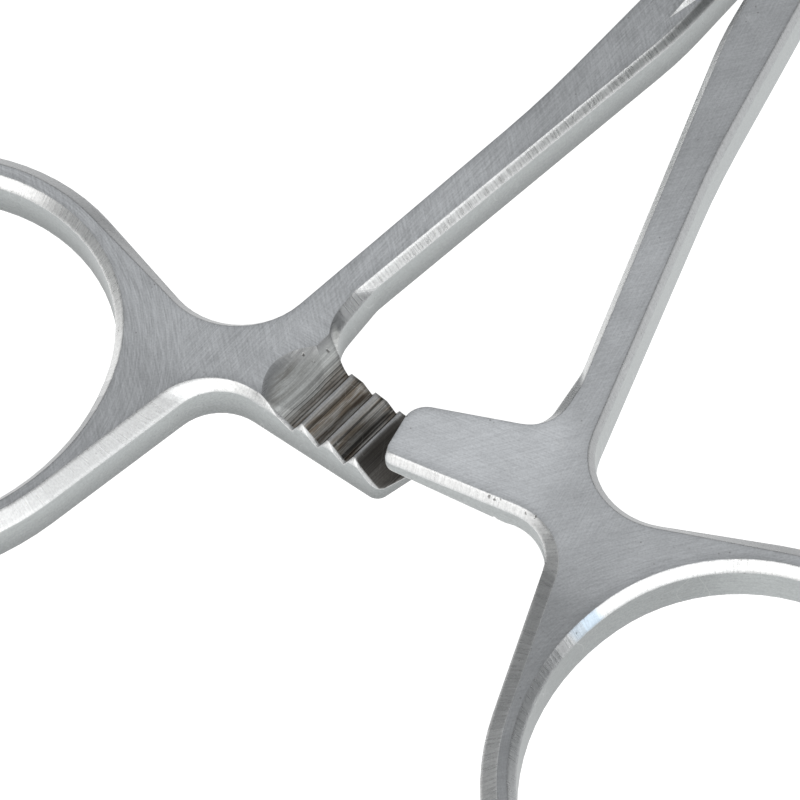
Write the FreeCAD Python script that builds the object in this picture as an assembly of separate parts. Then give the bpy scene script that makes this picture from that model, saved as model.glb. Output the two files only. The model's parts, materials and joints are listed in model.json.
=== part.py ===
"""A small ring-handled towel clamp: two forged halves, joined by a box lock and a riveted pivot pin.

Units are millimetres. The clamp is described closed, with the pivot at the origin, the jaws
towards +Y, the finger rings towards -Y and +Z up. Each half is then swung out by half of
REST_OPENING. The clamp rests on the underside of its lock and of its lower handle.

Half outlines are drawn for the half whose ring lies on +X. The other half is their mirror image.
"""
import FreeCAD, Part

import math
import os

V = FreeCAD.Vector

# Handle plate
PLATE_THICK = 3.1
TOP_BEVEL_DROP = 0.55
FOOT_BEVEL_DROP = 0.5
FOOT_BEVEL_WIDTH = 0.4
HANDLE_STEP = 2.1

# Finger ring: an oval of four arcs, its long axis turned from +X
RING_CENTRE = (20.35, -52.5)
RING_TURN = 104.0
RING_HALF_LENGTH = 11.9
RING_HALF_WIDTH = 10.5
RING_END_RADIUS = 9.73
RING_BAND = 1.8
HOLE_BEVEL_WIDTH = 0.46

# Shank, measured with the clamp closed
SHANK_GAP = 0.12
SHANK_INNER_START = -12.2
SHANK_INNER_END = (3.04, -34.3)
SHANK_INNER_BEND = 24.0
SHANK_OUTER_START = 3.0
SHANK_OUTER_MID = (3.55, -19.9)
SHANK_OUTER_BEND = 60.0
THROAT_BEND = 3.4

# Corners where shank, arm and ring run together, and the radii that soften them
THROAT_X = 2.8
RING_CORNER = (6.15, -42.15)
RING_CORNER_RADIUS = 4.15
LEG_CORNER = (6.2, -43.5)
LEG_CORNER_RADIUS = 2.85

# Ratchet arms: reach past the centre line, inner edge, and corner radii
UPPER_ARM_REACH = 3.75
UPPER_TIP_SKEW = 0.0
UPPER_ARM_INNER = -38.2
UPPER_ARM_TAPER = 13.4
UPPER_THROAT_RADIUS = 1.6
UPPER_TIP_INNER_RADIUS = 1.3
UPPER_TIP_OUTER_RADIUS = 0.5
LOWER_ARM_REACH = 5.3
LOWER_TIP_SKEW = 1.0
LOWER_ARM_INNER = -38.95
LOWER_ARM_TAPER = 5.3
LOWER_THROAT_RADIUS = 2.4
LOWER_TIP_INNER_RADIUS = 0.8
LOWER_TIP_OUTER_RADIUS = 0.7

# Top bevel widths, side by side along the outline
INNER_BEVEL = 0.39
THROAT_BEVEL = 0.6
ARM_INNER_BEVEL = 0.29
ARM_END_BEVEL = 0.06
ARM_BEVEL = 0.29
LEG_BEVEL = 0.91
RING_BEVEL = 0.74
RING_BEVEL_SHIFT = (0.12, 0.0)
RING_TOP_BEVEL = 0.32
OUTER_BEVEL = 0.29

# Ratchet teeth: runs are along the arm from the centre line, positive towards its root
TOOTH_COUNT = 3
TOOTH_PITCH = 1.7
TOOTH_STEEP_RUN = 0.5
TOOTH_LAND = 0.1
TOOTH_TURN = 3.0
TOOTH_SPAN = (37.4, 45.5)
CREST_DROP = 0.15
CREST_CLEARANCE = 0.05
LOWER_TOOTH_DEPTH = 0.9
LOWER_FIRST_NOTCH = 1.15
LOWER_TIP_THICK = 0.9
UPPER_TOOTH_DEPTH = 0.7
UPPER_TIP_THICK = 1.1
UPPER_WALL_ROOT = 1.9
LEAD_IN_SAG = 0.25
SCOOP_RUN = 2.0
SCOOP_BULGE = 1.0
SCOOP_RADIUS = 7.0

# Box lock
LOCK_RADIUS = 3.8
TONGUE_THICK = 2.0
TONGUE_HALF_WIDTH = 1.9
TONGUE_EYE_RADIUS = 2.5
TONGUE_TURN = 23.0
LOCK_PLAY = 0.06
SHOULDER_PLAY = 0.12
LOCK_BEVEL = 0.4
ROOT_END = -15.0
PIN_RADIUS = 1.0
PIN_PLAY = 0.04

# Jaws
JAW_TIP = 24.5
JAW_ROOT_WIDTH = 3.2
JAW_ROOT_THICK = 4.6
JAW_BULGE = 4.6
JAW_POINT_WIDTH = 0.24
JAW_POINT_THICK = 0.3
JAW_TIP_GAP = 0.05

# Travel
REST_OPENING = 11.1
FULL_OPENING = 56.0

LOCK_THICK = PLATE_THICK + HANDLE_STEP
HALF_LOCK = LOCK_THICK / 2
UPPER_PLATE_FOOT = HALF_LOCK - PLATE_THICK
LOWER_PLATE_FOOT = -HALF_LOCK


def unit(x, y):
    """Direction of length one."""
    size = math.hypot(x, y)
    return x / size, y / size


def polar(radius, degrees):
    """Point at a radius and an angle from +X."""
    return radius * math.cos(math.radians(degrees)), radius * math.sin(math.radians(degrees))


class Side:
    """Straight side of an outline, with the material on its left."""

    def __init__(self, start, end, inset=0.0):
        dx, dy = unit(end[0] - start[0], end[1] - start[1])
        self.direction = (dx, dy)
        self.point = (start[0] - dy * inset, start[1] + dx * inset)

    def shifted(self, distance):
        """The same side, moved to its left."""
        dx, dy = self.direction
        moved = Side((0, 0), self.direction)
        moved.point = (self.point[0] - dy * distance, self.point[1] + dx * distance)
        return moved

    def foot(self, centre):
        """Point of the side nearest to a centre."""
        dx, dy = self.direction
        along = (centre[0] - self.point[0]) * dx + (centre[1] - self.point[1]) * dy
        return self.point[0] + along * dx, self.point[1] + along * dy


def crossing(first, second):
    """Point where two straight sides meet."""
    (px, py), (dx, dy) = first.point, first.direction
    (qx, qy), (ex, ey) = second.point, second.direction
    along = ((qx - px) * ey - (qy - py) * ex) / (dx * ey - dy * ex)
    return px + along * dx, py + along * dy


def arc_between(centre, radius, start, end, turn):
    """Arc from start to end about a centre, turning left (+1) or right (-1)."""
    first = math.atan2(start[1] - centre[1], start[0] - centre[0])
    last = math.atan2(end[1] - centre[1], end[0] - centre[0])
    sweep = (last - first) * turn % (2 * math.pi)
    middle = first + turn * sweep / 2
    mid = (centre[0] + radius * math.cos(middle), centre[1] + radius * math.sin(middle))
    return ("arc", start, mid, end)


def soft_corner(first, second, radius, inset=0.0):
    """Rounding between two straight sides, its radius adjusted to their inset."""
    (dx, dy), (ex, ey) = first.direction, second.direction
    turn = 1 if dx * ey - dy * ex > 0 else -1
    radius -= turn * inset
    centre = crossing(first.shifted(turn * radius), second.shifted(turn * radius))
    return arc_between(centre, radius, first.foot(centre), second.foot(centre), turn)


def tangent_point(corner, centre, radius, turn):
    """Touching point of the line from a corner to a circle, on its left (+1) or right (-1)."""
    dx, dy = corner[0] - centre[0], corner[1] - centre[1]
    angle = math.atan2(dy, dx) + turn * math.acos(radius / math.hypot(dx, dy))
    return centre[0] + radius * math.cos(angle), centre[1] + radius * math.sin(angle)


class Oval:
    """Oval of two end arcs and two side arcs that run into each other."""

    def __init__(self, grow, shift=(0.0, 0.0)):
        cx, cy = RING_CENTRE[0] + shift[0], RING_CENTRE[1] + shift[1]
        length, width = RING_HALF_LENGTH, RING_HALF_WIDTH
        end = RING_END_RADIUS
        reach = length - end
        side = (width ** 2 - end ** 2 + reach ** 2) / (2 * (width - end))
        ux, uy = polar(1.0, RING_TURN)
        vx, vy = polar(1.0, RING_TURN + 90)
        back = side - width
        self.end_radius, self.side_radius = end + grow, side + grow
        self.top = (cx + reach * ux, cy + reach * uy)
        self.bottom = (cx - reach * ux, cy - reach * uy)
        self.inner = (cx - back * vx, cy - back * vy)
        self.outer = (cx + back * vx, cy + back * vy)

    def joint(self, side_centre, end_centre):
        """Point where a side arc runs into an end arc."""
        ux, uy = unit(end_centre[0] - side_centre[0], end_centre[1] - side_centre[1])
        return side_centre[0] + self.side_radius * ux, side_centre[1] + self.side_radius * uy

    def arcs(self, start=None, end=None):
        """Arcs of the oval, turning left from a point on its inner side to one on its top end."""
        inner_top = self.joint(self.inner, self.top)
        inner_bottom = self.joint(self.inner, self.bottom)
        outer_bottom = self.joint(self.outer, self.bottom)
        outer_top = self.joint(self.outer, self.top)
        return [
            arc_between(self.inner, self.side_radius, start or inner_top, inner_bottom, 1),
            arc_between(self.bottom, self.end_radius, inner_bottom, outer_bottom, 1),
            arc_between(self.outer, self.side_radius, outer_bottom, outer_top, 1),
            arc_between(self.top, self.end_radius, outer_top, end or inner_top, 1),
        ]


def wire_at(pieces, height):
    """Closed wire at a height, from arcs and the straight runs between them."""
    edges = []
    last = pieces[-1][-1]
    for piece in pieces:
        start = piece[1]
        if math.hypot(start[0] - last[0], start[1] - last[1]) > 1e-6:
            edges.append(Part.LineSegment(V(*last, height), V(*start, height)).toShape())
        if piece[0] == "arc":
            points = [V(*point, height) for point in piece[1:]]
            edges.append(Part.Arc(*points).toShape())
        last = piece[-1]
    return Part.Wire(edges)


class Arm:
    """Ratchet arm of one half: reach, skew of its end, inner edge, taper, and throat and tip radii."""

    def __init__(self, reach, skew, inner, taper, throat_radius, inner_radius, outer_radius):
        self.reach = reach
        self.throat_radius = throat_radius
        self.tip_inner_radius, self.tip_outer_radius = inner_radius, outer_radius
        self.throat = (THROAT_X, inner)
        self.tip_inner = (-reach, inner - math.tan(math.radians(taper)) * (THROAT_X + reach))
        self.tip_outer = (skew - reach, LEG_CORNER[1])


UPPER_ARM = Arm(
    UPPER_ARM_REACH, UPPER_TIP_SKEW, UPPER_ARM_INNER, UPPER_ARM_TAPER,
    UPPER_THROAT_RADIUS, UPPER_TIP_INNER_RADIUS, UPPER_TIP_OUTER_RADIUS,
)
LOWER_ARM = Arm(
    LOWER_ARM_REACH, LOWER_TIP_SKEW, LOWER_ARM_INNER, LOWER_ARM_TAPER,
    LOWER_THROAT_RADIUS, LOWER_TIP_INNER_RADIUS, LOWER_TIP_OUTER_RADIUS,
)


def handle_pieces(arm, inset, ring_shift):
    """Outline of shank, ratchet arm and ring, each side moved into the metal by its own inset."""
    oval = Oval(RING_BAND - inset["ring"], ring_shift)
    land_oval = Oval(RING_BAND)

    lock_end = Side((SHANK_OUTER_START, 0), (SHANK_GAP, 0))
    inner_top = Side((SHANK_GAP, 0), (SHANK_GAP, SHANK_INNER_START), inset["inner"])
    inner_mid = Side((SHANK_GAP, SHANK_INNER_START), SHANK_INNER_END, inset["inner"])
    inner_low = Side(SHANK_INNER_END, arm.throat, inset["throat"])
    arm_inner = Side(arm.throat, arm.tip_inner, inset["arm_inner"])
    arm_end = Side(arm.tip_inner, arm.tip_outer, inset["arm_end"])
    arm_outer = Side(arm.tip_outer, LEG_CORNER, inset["arm"])
    outer_low = Side(RING_CORNER, SHANK_OUTER_MID, inset["outer"])
    outer_top = Side(SHANK_OUTER_MID, (SHANK_OUTER_START, 0), inset["outer"])

    land_touch = tangent_point(LEG_CORNER, land_oval.inner, land_oval.side_radius, 1)
    leg_corner = crossing(arm_outer, Side(LEG_CORNER, land_touch, inset["leg"]))
    leg_touch = tangent_point(leg_corner, oval.inner, oval.side_radius, 1)
    leg = Side(leg_corner, leg_touch)
    land_touch = tangent_point(RING_CORNER, land_oval.top, land_oval.end_radius, -1)
    ring_corner = crossing(Side(land_touch, RING_CORNER, inset["ring_top"]), outer_low)
    top_touch = tangent_point(ring_corner, oval.top, oval.end_radius, -1)
    ring_top = Side(top_touch, ring_corner)

    pieces = [
        ("point", crossing(lock_end, inner_top)),
        soft_corner(inner_top, inner_mid, SHANK_INNER_BEND, inset["inner"]),
        soft_corner(inner_mid, inner_low, THROAT_BEND, inset["inner"]),
        soft_corner(inner_low, arm_inner, arm.throat_radius, inset["throat"]),
        soft_corner(arm_inner, arm_end, arm.tip_inner_radius, inset["arm_end"]),
        soft_corner(arm_end, arm_outer, arm.tip_outer_radius, inset["arm_end"]),
        soft_corner(arm_outer, leg, LEG_CORNER_RADIUS, inset["leg"]),
    ]
    pieces.extend(oval.arcs(leg_touch, top_touch))
    pieces.append(soft_corner(ring_top, outer_low, RING_CORNER_RADIUS, inset["outer"]))
    pieces.append(soft_corner(outer_low, outer_top, SHANK_OUTER_BEND, inset["outer"]))
    pieces.append(("point", crossing(outer_top, lock_end)))
    return pieces


def even_inset(width):
    """The same inset on every side of a handle."""
    return dict.fromkeys(TOP_INSET, width)


TOP_INSET = {
    "inner": INNER_BEVEL,
    "throat": THROAT_BEVEL,
    "arm_inner": ARM_INNER_BEVEL,
    "arm_end": ARM_END_BEVEL,
    "arm": ARM_BEVEL,
    "leg": LEG_BEVEL,
    "ring": RING_BEVEL,
    "ring_top": RING_TOP_BEVEL,
    "outer": OUTER_BEVEL,
}


def handle_plate(arm, foot):
    """Handle as one plate with a ground bevel above its straight wall and a smaller one below."""
    still = (0.0, 0.0)
    levels = [
        (foot, even_inset(FOOT_BEVEL_WIDTH), still),
        (foot + FOOT_BEVEL_DROP, even_inset(0.0), still),
        (foot + PLATE_THICK - TOP_BEVEL_DROP, even_inset(0.0), still),
        (foot + PLATE_THICK, TOP_INSET, RING_BEVEL_SHIFT),
    ]
    wires = [wire_at(handle_pieces(arm, inset, shift), height) for height, inset, shift in levels]
    return Part.makeLoft(wires, True, True).cut(ring_hole(foot))


def ring_hole(foot):
    """Tool for the finger hole, wider at both faces by its bevels."""
    spare = 0.5
    levels = [
        (foot - spare, FOOT_BEVEL_WIDTH * (1 + spare / FOOT_BEVEL_DROP)),
        (foot + FOOT_BEVEL_DROP, 0.0),
        (foot + PLATE_THICK - TOP_BEVEL_DROP, 0.0),
        (foot + PLATE_THICK + spare, HOLE_BEVEL_WIDTH * (1 + spare / TOP_BEVEL_DROP)),
    ]
    wires = [wire_at(Oval(grow).arcs(), height) for height, grow in levels]
    return Part.makeLoft(wires, True, True)


def saw_face(first_notch, reach, depth, face_height, tip_drop):
    """Region over the saw line of an arm, in (run, height) with height 0 at the crests."""
    ceiling = PLATE_THICK
    points = [(first_notch + SCOOP_RUN, ceiling), (first_notch + SCOOP_RUN, face_height)]
    for index in range(TOOTH_COUNT):
        notch = first_notch - index * TOOTH_PITCH
        crest = notch - TOOTH_STEEP_RUN
        points.extend([(notch, -depth), (crest, 0.0), (crest - TOOTH_LAND, 0.0)])
    run, end = points[-1][0], -reach - TOOTH_PITCH
    fall = tip_drop / (run + reach)
    low = (end, fall * (end - run))
    middle = ((run + end) / 2, low[1] / 2 - LEAD_IN_SAG)
    corners = [V(x, 0, z) for x, z in points]
    edges = [Part.makeLine(*pair) for pair in zip(corners, corners[1:])]
    edges.append(Part.Arc(corners[-1], V(middle[0], 0, middle[1]), V(low[0], 0, low[1])).toShape())
    edges.append(Part.makeLine(V(low[0], 0, low[1]), V(end, 0, ceiling)))
    edges.append(Part.makeLine(V(end, 0, ceiling), corners[0]))
    return Part.Face(Part.Wire(edges))


def teeth_tool(first_notch, reach, depth, face_height, tip_drop, turn):
    """Everything over the saw line, with the hollow that the cutter leaves at the first ramp."""
    near, far = TOOTH_SPAN
    saw = saw_face(first_notch, reach, depth, face_height, tip_drop)
    tool = saw.extrude(V(0, near - far, 0))
    tool.translate(V(0, -near, 0))
    middle = V(0, -(near + far) / 2, 0)
    along = V(SCOOP_RUN + SCOOP_BULGE, 0, depth + face_height).normalize()
    start = middle + V(first_notch, 0, -depth) + V(-along.z, 0, along.x) * SCOOP_RADIUS
    tool = tool.fuse(Part.makeCylinder(SCOOP_RADIUS, 3 * SCOOP_RUN, start, along))
    tool.rotate(middle, V(0, 0, 1), turn)
    return tool


def under_bevel_tool(top):
    """Bevel under the outer edge of the upper arm, which leaves its wall thinner towards the tip."""
    sections = []
    for run, wall in ((-UPPER_ARM_REACH, UPPER_TIP_THICK), (LEG_CORNER[0], UPPER_WALL_ROOT)):
        outer, size = LEG_CORNER[1] - FOOT_BEVEL_WIDTH, PLATE_THICK
        high = top - wall + FOOT_BEVEL_WIDTH
        corners = [V(run, outer, high), V(run, outer + size, high - size), V(run, outer, high - size)]
        sections.append(Part.makePolygon(corners + corners[:1]))
    return Part.makeLoft(sections, True, True)


def block(points, low, high):
    """Upright prism over a closed row of points."""
    corners = [V(x, y, low) for x, y in points]
    return Part.Face(Part.makePolygon(corners + corners[:1])).extrude(V(0, 0, high - low))


def bar_section(y, left, right, low, high, bevel):
    """Bevelled upright section of a shank root, facing along Y."""
    points = [
        (left + bevel, low), (right - bevel, low), (right, low + bevel), (right, high - bevel),
        (right - bevel, high), (left + bevel, high), (left, high - bevel), (left, low + bevel),
    ]
    corners = [V(x, y, z) for x, z in points]
    return Part.makePolygon(corners + corners[:1])


def shank_root(foot):
    """Taper that brings a handle plate up to the full thickness of the lock."""
    share = (SHANK_INNER_START - ROOT_END) / (SHANK_INNER_START - SHANK_INNER_END[1])
    inner = SHANK_GAP + share * (SHANK_INNER_END[0] - SHANK_GAP) + FOOT_BEVEL_WIDTH
    outer = SHANK_OUTER_START - FOOT_BEVEL_WIDTH / 2
    low, high = foot + FOOT_BEVEL_DROP, foot + PLATE_THICK - TOP_BEVEL_DROP
    thin = bar_section(ROOT_END, inner, outer, low, high, FOOT_BEVEL_WIDTH)
    thick = bar_section(0.0, SHANK_GAP, SHANK_OUTER_START, -HALF_LOCK, HALF_LOCK, LOCK_BEVEL)
    return Part.makeLoft([thin, thick], True, True)


def jaw():
    """Curved horn on +X, from inside the lock to its point on the centre line."""
    root = JAW_ROOT_WIDTH / 2 + SHANK_GAP
    point_x = JAW_TIP_GAP + JAW_POINT_WIDTH / 2
    path = Part.BSplineCurve()
    path.interpolate([
        V(root, 2.0, 0),
        V(root + 0.62 * (JAW_BULGE - root), 0.37 * JAW_TIP, 0),
        V(JAW_BULGE, 0.6 * JAW_TIP, 0),
        V(0.66 * JAW_BULGE, 0.86 * JAW_TIP, 0),
        V(point_x, JAW_TIP, 0),
    ])
    sections = []
    stations = 9
    for index in range(stations):
        share = index / (stations - 1)
        where = path.FirstParameter + share * (path.LastParameter - path.FirstParameter)
        centre = path.value(where)
        ahead = path.tangent(where)[0]
        taper = (1 - share) ** 0.85
        half_width = JAW_POINT_WIDTH / 2 + (JAW_ROOT_WIDTH - JAW_POINT_WIDTH) / 2 * taper
        half_thick = JAW_POINT_THICK / 2 + (JAW_ROOT_THICK - JAW_POINT_THICK) / 2 * taper
        side = ahead.cross(V(0, 0, 1))
        oval = Part.Ellipse(centre + V(0, 0, half_thick), centre + side * half_width, centre)
        sections.append(Part.Wire(oval.toShape()))
    return Part.makeLoft(sections, True, False)


def mirrored(shape):
    """The same shape on the other side of the centre line."""
    return shape.mirror(V(0, 0, 0), V(1, 0, 0))


def drum(radius, low, high, bevel=0.0):
    """Round body about the pivot, with bevelled rims."""
    body = Part.makeCylinder(radius, high - low, V(0, 0, low))
    if bevel:
        rims = [edge for edge in body.Edges if edge.Closed and hasattr(edge.Curve, "Radius")]
        body = body.makeChamfer(bevel, rims)
    return body


def tongue_bar(degrees, half_width, reach, half_thick):
    """Flat bar through the pivot, turned from +Y towards +X."""
    bar = Part.makeBox(2 * half_width, 2 * reach, 2 * half_thick, V(-half_width, -reach, -half_thick))
    bar.rotate(V(0, 0, 0), V(0, 0, 1), -degrees)
    return bar


def slot_tool():
    """Space in the box half that the tongue sweeps from closed to fully open."""
    reach = LOCK_RADIUS + SHOULDER_PLAY + LOCK_PLAY
    half_thick = TONGUE_THICK / 2 + LOCK_PLAY
    half_width = TONGUE_HALF_WIDTH + LOCK_PLAY
    closed = tongue_bar(TONGUE_TURN, half_width, 2 * reach, half_thick)
    opened = tongue_bar(TONGUE_TURN + FULL_OPENING, half_width, 2 * reach, half_thick)
    eye = drum(TONGUE_EYE_RADIUS + LOCK_PLAY, -half_thick, half_thick)
    swept = closed.fuse([opened, eye])
    for back in (0, 180):
        first = back + 90 - TONGUE_TURN
        fan = [(0, 0)] + [polar(3 * reach, first - share * FULL_OPENING / 3) for share in range(4)]
        swept = swept.fuse(block(fan, -half_thick, half_thick))
    return swept.common(drum(reach, -half_thick, half_thick))


def box_half():
    """Half with the slotted box, on +X behind the pivot and on -X in front of it."""
    foot, top = UPPER_PLATE_FOOT, UPPER_PLATE_FOOT + PLATE_THICK
    crest = LOWER_PLATE_FOOT + PLATE_THICK - CREST_DROP + CREST_CLEARANCE
    first_notch = (TOOTH_COUNT - 1) * TOOTH_PITCH + TOOTH_STEEP_RUN - LOWER_FIRST_NOTCH
    tip_drop = top - UPPER_TIP_THICK - crest
    tool = teeth_tool(
        first_notch, UPPER_ARM_REACH, UPPER_TOOTH_DEPTH, crest - foot, tip_drop, -TOOTH_TURN,
    )
    tool = tool.mirror(V(0, 0, 0), V(0, 0, 1))
    tool.translate(V(0, 0, crest))
    plate = handle_plate(UPPER_ARM, foot).cut(tool).cut(under_bevel_tool(top))
    body = plate.fuse([shank_root(foot), mirrored(jaw())])
    body = body.fuse(drum(LOCK_RADIUS, -HALF_LOCK, HALF_LOCK, LOCK_BEVEL))
    return body.cut([slot_tool(), drum(PIN_RADIUS, -LOCK_THICK, LOCK_THICK)])


def tongue_half():
    """Half whose tongue passes through the box, on -X behind the pivot and on +X in front."""
    foot = LOWER_PLATE_FOOT
    crest = foot + PLATE_THICK - CREST_DROP
    tip_drop = crest - foot - LOWER_TIP_THICK
    tool = teeth_tool(
        LOWER_FIRST_NOTCH, LOWER_ARM_REACH, LOWER_TOOTH_DEPTH, CREST_DROP, tip_drop, TOOTH_TURN,
    )
    tool.translate(V(0, 0, crest))
    body = mirrored(handle_plate(LOWER_ARM, foot).cut(tool).fuse(shank_root(foot))).fuse(jaw())
    shoulder = LOCK_RADIUS + SHOULDER_PLAY
    body = body.cut(drum(shoulder, -LOCK_THICK, LOCK_THICK))
    half_thick = TONGUE_THICK / 2
    tongue = tongue_bar(TONGUE_TURN, TONGUE_HALF_WIDTH, 2 * shoulder, half_thick)
    tongue = tongue.common(drum(shoulder, -half_thick, half_thick))
    tongue = tongue.fuse(drum(TONGUE_EYE_RADIUS, -half_thick, half_thick))
    return body.fuse(tongue).cut(drum(PIN_RADIUS + PIN_PLAY, -TONGUE_THICK, TONGUE_THICK))


def pivot_pin():
    """Rivet through both cheeks, ground flush with them."""
    return drum(PIN_RADIUS, -HALF_LOCK, HALF_LOCK)


def main():
    """Build the pieces, swing them to rest, and write one file for each."""
    swings = [
        ("box_half", box_half(), REST_OPENING / 2),
        ("pivot_pin", pivot_pin(), REST_OPENING / 2),
        ("tongue_half", tongue_half(), -REST_OPENING / 2),
    ]
    pieces = {}
    for name, shape, swing in swings:
        shape = shape.removeSplitter()
        shape.rotate(V(0, 0, 0), V(0, 0, 1), swing)
        pieces[name] = shape
    box = Part.makeCompound(list(pieces.values())).optimalBoundingBox(True, False)
    shift = V(-box.Center.x, -box.Center.y, -box.ZMin)
    os.makedirs("parts", exist_ok=True)
    for name, shape in pieces.items():
        shape.translate(shift)
        shape.exportStep(os.path.join("parts", name + ".step"))
        print(name, len(shape.Solids), shape.isValid(), round(shape.Volume, 2))
    print("size", [round(size, 3) for size in (box.XLength, box.YLength, box.ZLength)])
    print("pivot at", [round(value, 4) for value in shift])


main()
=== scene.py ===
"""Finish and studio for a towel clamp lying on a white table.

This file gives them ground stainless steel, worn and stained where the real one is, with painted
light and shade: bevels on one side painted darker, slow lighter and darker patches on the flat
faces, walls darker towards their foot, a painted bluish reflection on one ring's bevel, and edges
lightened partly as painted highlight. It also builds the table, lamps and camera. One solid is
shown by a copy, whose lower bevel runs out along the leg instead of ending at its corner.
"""
import json
import math

import bmesh
import bpy
from mathutils import Matrix, Vector


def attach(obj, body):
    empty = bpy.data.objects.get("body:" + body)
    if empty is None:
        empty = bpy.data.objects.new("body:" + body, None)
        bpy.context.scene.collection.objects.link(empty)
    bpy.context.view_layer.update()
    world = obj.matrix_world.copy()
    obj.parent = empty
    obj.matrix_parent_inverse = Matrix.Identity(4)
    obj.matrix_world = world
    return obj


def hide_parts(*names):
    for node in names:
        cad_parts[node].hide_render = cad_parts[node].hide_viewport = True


bl_info = {
    "name": "Towel clamp finish",
    "version": (1, 0, 0),
    "blender": (4, 5, 0),
    "location": "View3D > Sidebar > Clamp",
    "description": "Gives a ring-handled towel clamp its ground steel, table, lamps and camera",
    "category": "Object",
}

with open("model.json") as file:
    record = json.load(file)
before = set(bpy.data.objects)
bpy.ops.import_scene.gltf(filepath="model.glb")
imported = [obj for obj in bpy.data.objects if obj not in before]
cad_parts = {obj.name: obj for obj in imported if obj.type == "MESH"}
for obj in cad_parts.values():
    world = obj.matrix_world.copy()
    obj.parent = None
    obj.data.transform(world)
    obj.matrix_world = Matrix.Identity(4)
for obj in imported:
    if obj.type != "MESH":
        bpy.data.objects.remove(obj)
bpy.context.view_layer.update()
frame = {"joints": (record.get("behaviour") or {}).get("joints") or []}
HINGE = next(joint for joint in frame["joints"] if joint["name"] == "pivot")
PIVOT = Vector(HINGE["pos_m"])
REST_SWING = math.radians(abs(HINGE["range_deg"][0])) / 2
MM = 0.001
PICTURE_PIXELS = 800.0
SENSOR_MM = 36.0

# Landmarks of one half, in millimetres from the pivot with the clamp closed
RING_CENTRE = (20.35, -52.5, 0.0)
RING_REACH = 14.2
ARM_ROOT = 4.6
ARM_TOP = -37.0
LEVEL_LOWER = 3.1
LEVEL_UPPER = 5.2
CREST_TURN = math.radians(3.0)

# Where masks fade in, across (X) or along (Y) a half or in height: start and full, in millimetres
TEETH_ROOT_X = (4.3, 4.0)
TEETH_TIP_X = (-6.2, -6.0)
TEETH_OUTER_Y = (-43.34, -43.26)
TEETH_INNER_Y = (-37.4, -37.7)
TEETH_DEPTH = (0.03, 0.34)
LEAD_IN_X = (-2.3, -3.0)
SMEAR_X = (2.2, 3.2)
SMEAR_Y = (-39.6, -41.2)
FILM_X = (2.2, 0.9)
MILLED_X = (2.4, 1.1)
LINED_X = (2.6, 1.3)
RING_X = (8.6, 9.4)
RING_Y = (-41.0, -43.0)
# Band of the ring's bevel that gets a painted bluish reflection: fades at its upper and lower ends
PAINTED_REFLECTION_TOP_Y = (-46.8, -47.3)
PAINTED_REFLECTION_FOOT_Y = (-49.2, -48.6)
# Span along the half over which the bevels go from darker, towards the ring, to lighter, towards the
# pivot
BEVEL_GAIN_Y = (-44.0, -32.0)
# Painted shade on the walls: from this far below the toothed face's height, where they are darkest, to
# this far below it, where they are lightest
WALL_SHADE_RISE = (-2.8, -0.5)

# Bevel that is cut on round the upper half's outer corner, between arm and leg, until it runs out.
# Shares say how much of the wall's foot has been let down: at the start, after the corner, at the end.
CORNER_CENTRE = (3.77, -46.35)
CORNER_RADIUS = 2.85
CORNER_SWEEP = math.radians(81.0)
CORNER_STEPS = 12
LEAD_IN = 0.7
RUN_OUT = 3.5
RUN_OUT_STEPS = 4
FOOT_SHARES = (0.1, 0.6, 1.0)
WALL_FOOT_HIGH = 3.62
WALL_FOOT_LOW = 2.35
PLATE_FOOT = LEVEL_UPPER - LEVEL_LOWER
CUT_SPARE = 0.6

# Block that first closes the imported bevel's end: its reach across, its back, its bottom and top,
# and how far it stays inside the outline
FILL_SPAN = (4.3, 6.3)
FILL_BACK = -42.0
FILL_LEVELS = (PLATE_FOOT + 0.002, 3.9)
FILL_INSET = 0.02

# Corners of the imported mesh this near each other, in metres, are merged in the shown copy, and
# its edges stay sharp above this angle
MERGE_DISTANCE = 1e-7
SHARP_ANGLE = math.radians(9.0)

# Single nicks: place across and along the half, and radius
BOX_NICKS = (
    (2.3, -43.28, 0.10), (2.6, -43.30, 0.08), (2.95, -43.27, 0.06), (4.4, -43.33, 0.08),
    (5.0, -43.4, 0.07),
)
TONGUE_NICKS = ((3.31, -39.92, 0.09), (2.5, -38.9, 0.12))

# Painted light and shade on the flat faces: slow patches painted lighter or darker in place of the
# changing reflection of their slightly curved surfaces. Y where one starts and is full, X where it
# starts and is full, and its gain
SHANK_PAINTED_SHADE = (-27.0, -20.0, -9.0, -8.0, 0.82)
BOX_PAINTED_SHADING = ((-44.0, -48.5, 14.0, 10.0, 0.66), SHANK_PAINTED_SHADE, (-36.5, -38.5, 6.5, 3.0, 1.28))
TONGUE_PAINTED_SHADING = ((-42.0, -46.0, 15.0, 9.0, 0.84), SHANK_PAINTED_SHADE)

# Finish of each half: which way its teeth face, its nicks, its painted light and shade on the flat
# faces, how strong its grinding lines are, and how its ring differs from the rest: a painted bluish
# reflection, a gain on its bevels that have painted shade, and a gain on its wall
BOX_FINISH = {
    "teeth_up": False, "nicks": BOX_NICKS, "painted_shading": BOX_PAINTED_SHADING, "contrast": 0.16,
    "ring_painted_reflection": 1.0, "ring_shaded_bevel_gain": 1.3, "ring_wall": 0.78,
}
TONGUE_FINISH = {
    "teeth_up": True, "nicks": TONGUE_NICKS, "painted_shading": TONGUE_PAINTED_SHADING, "contrast": 0.25,
    "ring_painted_reflection": 0.0, "ring_shaded_bevel_gain": 1.0, "ring_wall": 1.0,
}

# Side of the clamp towards which bevels are painted darker, as painted shade, as a level direction
SHADED_HEADING = math.radians(92.0)
SHADED_SIDE = (math.cos(SHADED_HEADING), math.sin(SHADED_HEADING), 0.0)

# Colours of small marks, of lightened edges, of a painted bluish reflection and of the lead-in's
# darkening
PITTED = (0.12, 0.11, 0.10)
SCRATCHED = (0.85, 0.85, 0.85)
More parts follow.
